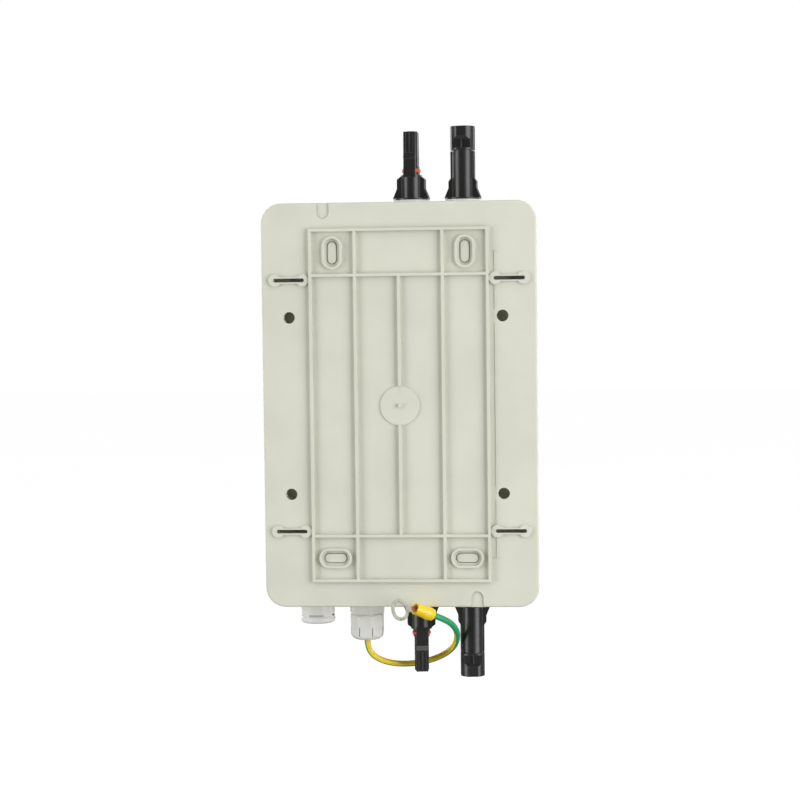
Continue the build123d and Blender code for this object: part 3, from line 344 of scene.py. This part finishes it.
@dataclass(frozen=True)
class Plated:
    """Plated or bare metal: fine brushing along one axis, patches of duller plating and soft edges."""

    name: str
    colour: Colour
    roughness: float = 0.3
    brush: Point = (400.0, 6000.0, 6000.0)
    brush_depth: float = 0.000004
    edge_radius: float = 0.0002
    patch_size: float = 0.006
    dull: float = 0.86
    bright: float = 1.06

    def build(self) -> bpy.types.Material:
        """Returns the material."""
        g = Graph(self.name)
        brushed = g.noise(1.0, 2.0, g.stretched(self.brush))
        patches = g.noise(self.patch_size, 3.0)
        patchy = patches.step(0.35, 0.7)
        colour = g.mix(patchy, shade(self.colour, self.dull), shade(self.colour, self.bright))
        rough = self.roughness + (patches - 0.5) * 0.2 + (brushed - 0.5) * 0.08
        normal = g.bump(brushed, self.brush_depth, g.round_edges(self.edge_radius))
        return g.finish(Base_Color=colour, Metallic=1.0, Roughness=rough, Normal=normal)


@dataclass(frozen=True)
class SmokedPane:
    """Smoked clear plastic: dark, glossy and see-through, with faint wipe marks and a painted highlight on
    its edges.
    """

    name: str
    colour: Colour
    clearness: float = 0.62
    wipe: Point = (60.0, 60.0, 400.0)
    wipe_angle: float = radians(20)
    ripple: float = 0.02
    ripple_depth: float = 0.00002
    edge_radius: float = 0.0006

    def build(self) -> bpy.types.Material:
        """Returns the material."""
        g = Graph(self.name)
        wiped = g.noise(1.0, 4.0, g.stretched(self.wipe, (0.0, self.wipe_angle, 0.0)))
        rounded = g.round_edges(self.edge_radius)
        edge = g.edge_mask(rounded)
        alpha = 1.0 - self.clearness + edge * 0.3
        rough = 0.06 + wiped.step(0.5, 0.8) * 0.06
        normal = g.bump(g.noise(self.ripple, 1.0), self.ripple_depth, rounded)
        # Painted highlight: the colour turns lighter on edges.
        colour = g.mix(edge, self.colour, shade(self.colour, 2.5))
        return g.finish(Base_Color=colour, Alpha=alpha, Roughness=rough, Normal=normal, Coat_Weight=0.4,
                        Coat_Roughness=0.03)


@dataclass(frozen=True)
class StripedJacket:
    """Wire insulation in two colours, split by the U of the tube's UV map, which runs once round it."""

    name: str
    colour: Colour
    stripe: Colour
    stripe_share: float = 0.47
    stripe_blur: float = 0.012
    wander: float = 0.03
    pimple: float = 0.0012
    pimple_depth: float = 0.00002

    def build(self) -> bpy.types.Material:
        """Returns the material."""
        g = Graph(self.name)
        uv = g.out(g.node("UVMap", {"uv_map": "UVMap"}, {}))
        round_the_wire = g.out(g.node("SeparateXYZ", {}, {0: uv}), 0)
        wander = (g.noise(0.012, 2.0) - 0.5) * self.wander
        away = (round_the_wire + wander - 0.5).math("ABSOLUTE")
        half = self.stripe_share / 2
        stripe = 1.0 - away.step(half - self.stripe_blur, half + self.stripe_blur)
        tone = g.noise(0.003, 3.0)
        yellow = g.mix(tone, shade(self.colour, 0.94), shade(self.colour, 1.05))
        green = g.mix(tone, shade(self.stripe, 0.9), shade(self.stripe, 1.1))
        rough = 0.36 + (tone - 0.5) * 0.12
        normal = g.bump(g.noise(self.pimple, 2.0), self.pimple_depth)
        return g.finish(Base_Color=g.mix(stripe, yellow, green), Roughness=rough, Normal=normal,
                        Subsurface_Weight=0.05, Subsurface_Radius=(0.001, 0.001, 0.0005))


class Finish(Enum):
    """Every finish on the box, under the name of the record's material slot that it dresses."""

    enclosure_plastic = Moulding("shell_grey", srgb(222, 223, 207), 0.5)
    gasket_rubber = Moulding("gasket_black", srgb(44, 44, 46), 0.7, clouds=0.08, edge_light=0.3)
    screw_steel = Plated("zinc_screw", srgb(205, 206, 208), 0.28)
    window_plastic = SmokedPane("smoked_window", srgb(70, 74, 78))
    rail_steel = Plated("zinc_rail", srgb(200, 203, 206), 0.34, (300.0, 5000.0, 5000.0))
    device_plastic = Moulding("device_grey", srgb(226, 227, 224), 0.42)
    lever_plastic = Moulding("lever_black", srgb(38, 40, 44), 0.25, edge_light=0.6, coat=0.3)
    carrier_plastic = Moulding("carrier_grey", srgb(212, 214, 212), 0.4)
    fuse_metal = Plated("fuse_cap", srgb(216, 214, 206), 0.25)
    surge_plastic = Moulding("module_grey", srgb(92, 96, 100), 0.45, edge_light=0.2)
    pale_silicone = Moulding("seal_white", srgb(228, 232, 232), 0.35, subsurface=0.3, edge_light=0.03)
    red_silicone = Moulding("ring_red", srgb(226, 84, 66), 0.38, subsurface=0.15, edge_light=0.05)
    # Grey painted highlight on the edges and painted shade in the corners of the black connectors.
    connector_plastic = Moulding(
        "coupler_black", srgb(16, 16, 16), 0.38, grain=0.0003, grain_depth=0.000008, clouds=0.15,
        edge_light=0.2, edge_colour=srgb(118, 120, 116), corner_dark=0.3, corner_reach=0.003, coat=0.35,
    )
    contact_metal = Plated("tinned_contact", srgb(214, 212, 204), 0.25, (6000.0, 6000.0, 400.0))
    gland_plastic = Moulding(
        "gland_grey", srgb(240, 240, 235), 0.38, edge_radius=0.0003, edge_light=0.05, corner_dark=0.45,
        corner_reach=0.003, subsurface=0.06,
    )
    lead_jacket = StripedJacket("earth_jacket", srgb(250, 216, 30), srgb(48, 168, 112))
    sleeve_vinyl = Moulding(
        "sleeve_yellow", srgb(255, 218, 32), 0.3, grain=0.0016, grain_depth=0.00008, edge_light=0.02,
        corner_dark=0.3, corner_reach=0.003, coat=0.2, subsurface=0.12,
    )
    terminal_tin = Plated("tinned_lug", srgb(226, 224, 208), 0.3, (3000.0, 3000.0, 3000.0))
    strand_copper = Plated("copper_strand", srgb(214, 140, 96), 0.28, (5000.0, 5000.0, 400.0))
    wire_red = Moulding("jacket_red", srgb(190, 34, 28), 0.4)
    wire_black = Moulding("jacket_black", srgb(36, 36, 38), 0.4)


class Palette:
    """The finishes, each built once when it is first asked for."""

    def __init__(self) -> None:
        """Starts with nothing built."""
        self.built: dict[str, bpy.types.Material] = {}

    def get(self, slot: str) -> bpy.types.Material:
        """Returns the material of a slot of the record."""
        if slot not in self.built:
            self.built[slot] = Finish[slot].value.build()
        return self.built[slot]

    def dress(self, piece: bpy.types.Object, slot: str) -> None:
        """Gives a piece the finish of a slot."""
        piece.data.materials.clear()
        piece.data.materials.append(self.get(slot))


# ------------------------------------------------------------------ surfaces
def grid_faces(rows: int, columns: int, around: bool, ends: bool) -> list[tuple[int, ...]]:
    """Faces of a grid of points, as point numbers.

    The point in row r and column c has the number r * columns + c, and each face joins four neighbours.

    Args:
        rows, columns: size of the grid. Rows run along, columns across.
        around: True if the last column joins the first.
        ends: True to close the first and last rows with a face, given last.

    Returns:
        The faces.
    """
    across = columns if around else columns - 1
    row, column = np.meshgrid(np.arange(rows - 1), np.arange(across), indexing="ij")
    right = (column + 1) % columns
    quads = np.stack([row * columns + column, row * columns + right, (row + 1) * columns + right,
                      (row + 1) * columns + column], axis=-1).reshape(-1, 4)
    faces = [tuple(int(v) for v in quad) for quad in quads]
    if ends:
        faces.append(tuple(range(columns))[::-1])
        faces.append(tuple(int(v) for v in range((rows - 1) * columns, rows * columns)))
    return faces


def place_piece(name: str, mesh: bpy.types.Mesh) -> bpy.types.Object:
    """Puts a mesh into the scene as a piece with its own name."""
    mesh.update()
    piece = bpy.data.objects.new(name, mesh)
    bpy.context.scene.collection.objects.link(piece)
    return piece


def tube_piece(name: str, points: np.ndarray, uv: np.ndarray) -> bpy.types.Object:
    """Makes a closed tube from rings of points.

    Args:
        name: name of the piece.
        points: rings by points round by 3, in metres.
        uv: rings by points round + 1 by 2 map.

    Returns:
        The smooth-shaded piece.
    """
    rows, columns = points.shape[:2]
    faces = grid_faces(rows, columns, around=True, ends=True)
    mesh = bpy.data.meshes.new(name)
    mesh.from_pydata(points.reshape(-1, 3).tolist(), [], faces)
    row, column = np.meshgrid(np.arange(rows - 1), np.arange(columns), indexing="ij")
    corners = np.stack([uv[row, column], uv[row, column + 1],
                        uv[row + 1, column + 1], uv[row + 1, column]], axis=2)
    flat = np.concatenate([corners.reshape(-1, 2), np.tile(uv[0, 0], (2 * columns, 1))])
    mesh.uv_layers.new(name="UVMap").data.foreach_set("uv", flat.astype(np.float32).ravel())
    mesh.polygons.foreach_set("use_smooth", [True] * (len(faces) - 2) + [False] * 2)
    return place_piece(name, mesh)


def bundle_piece(name: str, tubes: np.ndarray) -> bpy.types.Object:
    """Makes one piece of many closed tubes.

    Args:
        name: name of the piece.
        tubes: tubes by rings by points round by 3, in metres.

    Returns:
        The smooth-shaded piece.
    """
    count, rows, columns = tubes.shape[:3]
    single = grid_faces(rows, columns, around=True, ends=True)
    faces = [tuple(v + n * rows * columns for v in face) for n in range(count) for face in single]
    mesh = bpy.data.meshes.new(name)
    mesh.from_pydata(tubes.reshape(-1, 3).tolist(), [], faces)
    mesh.polygons.foreach_set("use_smooth", [True] * len(faces))
    return place_piece(name, mesh)


def square_to(direction: np.ndarray, hint: np.ndarray) -> tuple[np.ndarray, np.ndarray]:
    """Two unit directions square to one direction, the first as near the hint as it can be.

    Args:
        direction: unit vectors, in the last axis.
        hint: wished directions of the same shape.

    Returns:
        The two directions.
    """
    first = hint - direction * np.sum(hint * direction, axis=-1, keepdims=True)
    first = first / np.linalg.norm(first, axis=-1, keepdims=True)
    return first, np.cross(direction, first)


@dataclass
class EarthLead:
    """Earth lead with its sleeve, lug and bare strands.

    The route, the sleeve, the lug and the strands are in millimetres, the diameter and the loop's centre in
    metres.
    """

    palette: Palette
    diameter: float = 4.3 * MM
    sides: int = 28
    loop_centre: Point = (-0.003, -0.028, -0.166)
    sleeve_length: float = 15.0
    lug_along: Point = (0.70, 0.71, 0.05)
    lug_tilt: Point = (0.41, 0.0, 0.91)
    strand_count: int = 13
    strand_radius: float = 0.27
    strands_a_layer: int = 7
    strand_pitch: float = 0.5
    layer_height: float = 0.62
    first_layer: float = 0.85
    strand_inset: float = 0.8
    strand_length: float = 3.6
    strand_uneven: float = 0.9
    strand_sway: float = 0.3
    twist_start: float = radians(20)
    twist_turn: float = radians(85)
    twist_from: float = 0.5
    twist_over: float = 0.4
    route: Sequence[Point] = (
        (27.4, -34.0, -167.4),
        (27.4, -34.0, -172.2),
        (24.8, -35.0, -178.7),
        (18.6, -37.4, -183.6),
        (9.0, -41.4, -187.0),
        (-3.0, -46.0, -188.0),
        (-15.5, -47.5, -186.0),
        (-27.0, -42.0, -180.5),
        (-35.0, -33.0, -172.5),
        (-37.6, -23.0, -162.5),
        (-35.0, -13.0, -154.2),
        (-28.6, -5.9, -148.7),
        (-20.9, -0.5, -144.9),
    )

    def centreline(self) -> np.ndarray:
        """Points along one smooth spline whose control points are the route."""
        curve = bpy.data.curves.new("lead_line", "CURVE")
        curve.dimensions = "3D"
        curve.resolution_u = 14
        spline = curve.splines.new("NURBS")
        spline.points.add(len(self.route) - 1)
        for point, place in zip(spline.points, self.route):
            point.co = (*(v * MM for v in place), 1.0)
        spline.order_u = 3
        spline.use_endpoint_u = True
        line = bpy.data.objects.new("lead_line", curve)
        bpy.context.scene.collection.objects.link(line)
        mesh = bpy.data.meshes.new_from_object(line)
        points = np.array([v.co for v in mesh.vertices])
        bpy.data.objects.remove(line)
        bpy.data.meshes.remove(mesh)
        return points

    def strands(self) -> bpy.types.Object:
        """Bare strands that come out of the sleeve's mouth and lie on the lug's tongue.

        Strand k starts at its own place in a flat bundle of two layers and runs along the lug:
        p(t) = start_k + along * length_k * t + across * sway * sin(2 pi (0.35 t + 0.37 k)) * t.

        Returns:
            The piece.
        """
        end, before = (np.array(self.route[n]) for n in (-1, -2))
        mouth = end + (end - before) / np.linalg.norm(end - before) * self.sleeve_length
        along = np.array(self.lug_along) / np.linalg.norm(self.lug_along)
        normal = np.cross(along, self.lug_tilt)
        normal /= np.linalg.norm(normal)
        across = np.cross(along, normal)
        number = np.arange(self.strand_count)
        layer, place = number // self.strands_a_layer, number % self.strands_a_layer
        middle = self.strands_a_layer // 2
        start = (mouth - along * self.strand_inset
                 - normal * (self.first_layer + self.layer_height * layer)[:, None]
                 + across * (self.strand_pitch * (place - middle) + self.strand_pitch / 2 * layer)[:, None])
        share = np.linspace(0, 1, 9)
        length = self.strand_length + self.strand_uneven * np.sin(2.1 * number)
        wave = np.sin(2 * pi * (0.35 * share[None, :] + 0.37 * number[:, None]))
        sway = self.strand_sway * wave * share[None, :]
        run = along * (length[:, None] * share[None, :])[..., None]
        line = start[:, None] + run + across * sway[..., None]
        angle = np.linspace(0, 2 * pi, 8, endpoint=False)
        ring = np.cos(angle)[:, None] * across - np.sin(angle)[:, None] * normal
        piece = bundle_piece("bare_strands", (line[:, :, None] + ring * self.strand_radius) * MM)
        self.palette.dress(piece, "strand_copper")
        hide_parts("wire_strands")
        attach(piece, "enclosure")
        return piece

    def tube(self) -> bpy.types.Object:
        """Round tube along the centreline.

        At each point of the line, a ring of points lies in the plane square to the line. The ring's angle
        is counted from the side that faces away from the middle of the loop, and slowly turns towards +Y
        near the sleeve, so that the stripe does too.

        Returns:
            The piece.
        """
        line = self.centreline()
        run = np.gradient(line, axis=0)
        run /= np.linalg.norm(run, axis=1, keepdims=True)
        outward, side = square_to(run, (line - np.array(self.loop_centre)) * (1.0, 0.0, 1.0))
        steps = np.linalg.norm(np.diff(line, axis=0), axis=1)
        along = np.concatenate([[0.0], np.cumsum(steps)])
        share = along / along[-1]
        blend = np.clip((share - self.twist_from) / self.twist_over, 0, 1)
        twist = self.twist_start - self.twist_turn * blend * blend * (3 - 2 * blend)
        angle = np.linspace(0, 2 * pi, self.sides, endpoint=False)[None, :] + pi + twist[:, None]
        ring = np.cos(angle)[..., None] * outward[:, None] + np.sin(angle)[..., None] * side[:, None]
        points = line[:, None] + ring * self.diameter / 2
        turns = np.linspace(0, 1, self.sides + 1)
        uv = np.stack(np.broadcast_arrays(turns[None, :], along[:, None] / self.diameter), axis=-1)
        piece = tube_piece("earth_lead_jacket", points, uv)
        self.palette.dress(piece, "lead_jacket")
        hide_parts("earth_lead")
        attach(piece, "enclosure")
        parts = [frame["nodes"]["terminal_sleeve"], frame["nodes"]["ring_terminal"], self.strands()]
        log.info("earth lead: %.1f mm along its smooth line", along[-1] / MM)
        return piece


@dataclass
class Studio:
    """Camera, pale floor and soft lights."""

    camera_at: Point = (-0.095, 1.25, 0.067)
    yaw: float = 4.331
    pitch: float = -2.879
    roll: float = -0.672
    lens: float = 82.13
    sensor: float = 36.0
    floor_z: float = -0.62
    floor_half: float = 14.0
    floor_glow: float = 0.8
    surround: float = 0.2
    softboxes: Sequence[tuple[str, Point, tuple[float, float], float]] = (
        ("back_left", (1.15, 0.60, 0.05), (0.6, 1.5), 11.0),
        ("back_right", (-1.10, 0.70, 0.05), (0.9, 1.5), 17.2),
        ("above", (-0.1, 0.35, 1.3), (1.4, 0.9), 5.0),
        ("below", (0.0, 0.80, -0.85), (1.4, 0.5), 6.0),
        ("front_left", (-1.0, -1.0, 0.3), (0.6, 1.3), 8.0),
        ("front_right", (1.0, -1.0, 0.3), (0.6, 1.3), 8.0),
    )

    def camera(self) -> None:
        """Camera at the height and side from which the back of the box is seen."""
        lens = bpy.data.cameras.new("camera")
        lens.lens = self.lens
        lens.sensor_width = self.sensor
        camera = bpy.data.objects.new("camera", lens)
        camera.location = self.camera_at
        tilt = Euler((radians(90 + self.pitch), 0.0, 0.0)).to_matrix()
        turn = Euler((0.0, 0.0, radians(180 + self.yaw))).to_matrix()
        lean = Euler((0.0, 0.0, radians(self.roll))).to_matrix()
        camera.rotation_euler = (turn @ tilt @ lean).to_euler()
        bpy.context.scene.collection.objects.link(camera)
        bpy.context.scene.camera = camera

    def softbox(self, name: str, place: Point, size: tuple[float, float], power: float) -> None:
        """Soft light that faces the middle of the box and isn't seen itself.

        Args:
            name: name of the light.
            place: where it stands.
            size: width and height.
            power: power in watts.
        """
        light = bpy.data.lights.new(name, "AREA")
        light.shape = "RECTANGLE"
        light.size, light.size_y = size
        light.energy = power
        box = bpy.data.objects.new(name, light)
        box.location = place
        box.rotation_euler = (-Vector(place)).to_track_quat("-Z", "Y").to_euler()
        box.visible_camera = False
        bpy.context.scene.collection.objects.link(box)

    def floor(self) -> None:
        """Flat pale floor, well under the hanging lead."""
        half = self.floor_half
        mesh = bpy.data.meshes.new("floor")
        sides = ((-half, -half), (half, -half), (half, half), (-half, half))
        mesh.from_pydata([(x, y, self.floor_z) for x, y in sides], [], [(0, 1, 2, 3)])
        floor = bpy.data.objects.new("floor", mesh)
        bpy.context.scene.collection.objects.link(floor)
        g = Graph("floor_white")
        tone = g.noise(0.8, 2.0)
        colour = g.mix(tone, (0.93, 0.93, 0.93), (0.97, 0.97, 0.97))
        mesh.materials.append(g.finish(Base_Color=colour, Roughness=0.9, Emission_Color=(1.0, 1.0, 1.0),
                                       Emission_Strength=self.floor_glow))
        floor.visible_diffuse = False
        floor.visible_glossy = False

    def light(self) -> None:
        """White backdrop, dimmer surroundings and softboxes at both sides of each face."""
        world = bpy.data.worlds.new("studio")
        world.use_nodes = True
        bpy.context.scene.world = world
        nodes, links = world.node_tree.nodes, world.node_tree.links
        background = nodes["Background"]
        background.inputs[0].default_value = (1.0, 1.0, 1.0, 1.0)
        seen = nodes.new("ShaderNodeLightPath")
        strength = nodes.new("ShaderNodeMapRange")
        strength.inputs["To Min"].default_value = self.surround
        strength.inputs["To Max"].default_value = 1.0
        links.new(seen.outputs["Is Camera Ray"], strength.inputs["Value"])
        links.new(strength.outputs[0], background.inputs[1])
        for name, at, size, power in self.softboxes:
            self.softbox(name, at, size, power)
        bpy.context.scene.view_settings.view_transform = "Standard"

    def build(self) -> None:
        """Sets up the studio."""
        self.camera()
        self.floor()
        self.light()


def main() -> None:
    """Builds the scene in order and reports each piece."""
    logging.basicConfig(level=logging.INFO, format="%(name)s: %(message)s")
    palette = Palette()
    Studio().build()
    EarthLead(palette).tube()
    for row in frame["record"]["subparts"]:
        palette.dress(frame["nodes"][row["node"]], row["material_slot"])
        log.info("%s in %s", row["node"], row["material_slot"])


if __name__ == "__main__":
    main()
